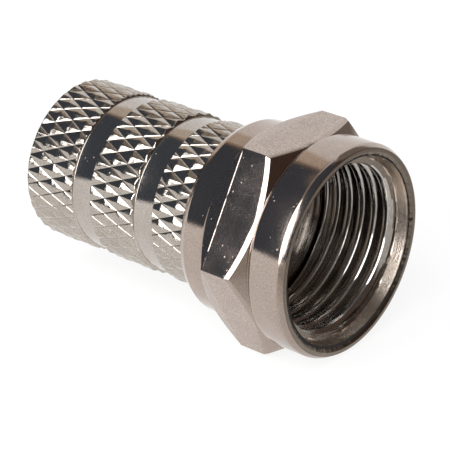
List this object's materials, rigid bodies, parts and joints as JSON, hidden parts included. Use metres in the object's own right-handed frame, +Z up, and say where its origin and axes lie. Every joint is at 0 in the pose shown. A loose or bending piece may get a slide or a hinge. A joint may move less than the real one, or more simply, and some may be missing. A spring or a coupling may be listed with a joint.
{
  "type": "f connector",
  "caption": "Twist-on coaxial plug: a hexagon coupling nut that turns on a diamond knurled sleeve with a bore for the cable.",
  "frame": {"origin": "on the plug's axis at the seat: the front face of the body's lip, where the mating port's end lands inside the nut", "axes": "+X along the axis towards the nut's mouth, +Z up, square to one flat of the nut's hexagon"},
  "size_m": [0.0185, 0.0128, 0.0112],
  "materials": {
    "nut_nickel": "bright nickel plate on turned brass",
    "body_nickel": "bright nickel plate on knurled brass"
  },
  "bodies": {
    "body": {"knurled_body": "body_nickel"},
    "nut": {"coupling_nut": "nut_nickel"}
  },
  "joints": [
    {"name": "nut_swivel", "type": "hinge", "parent": "body", "child": "nut", "pos_m": [0, 0, 0], "axis": [1, 0, 0], "continuous": true}
  ]
}
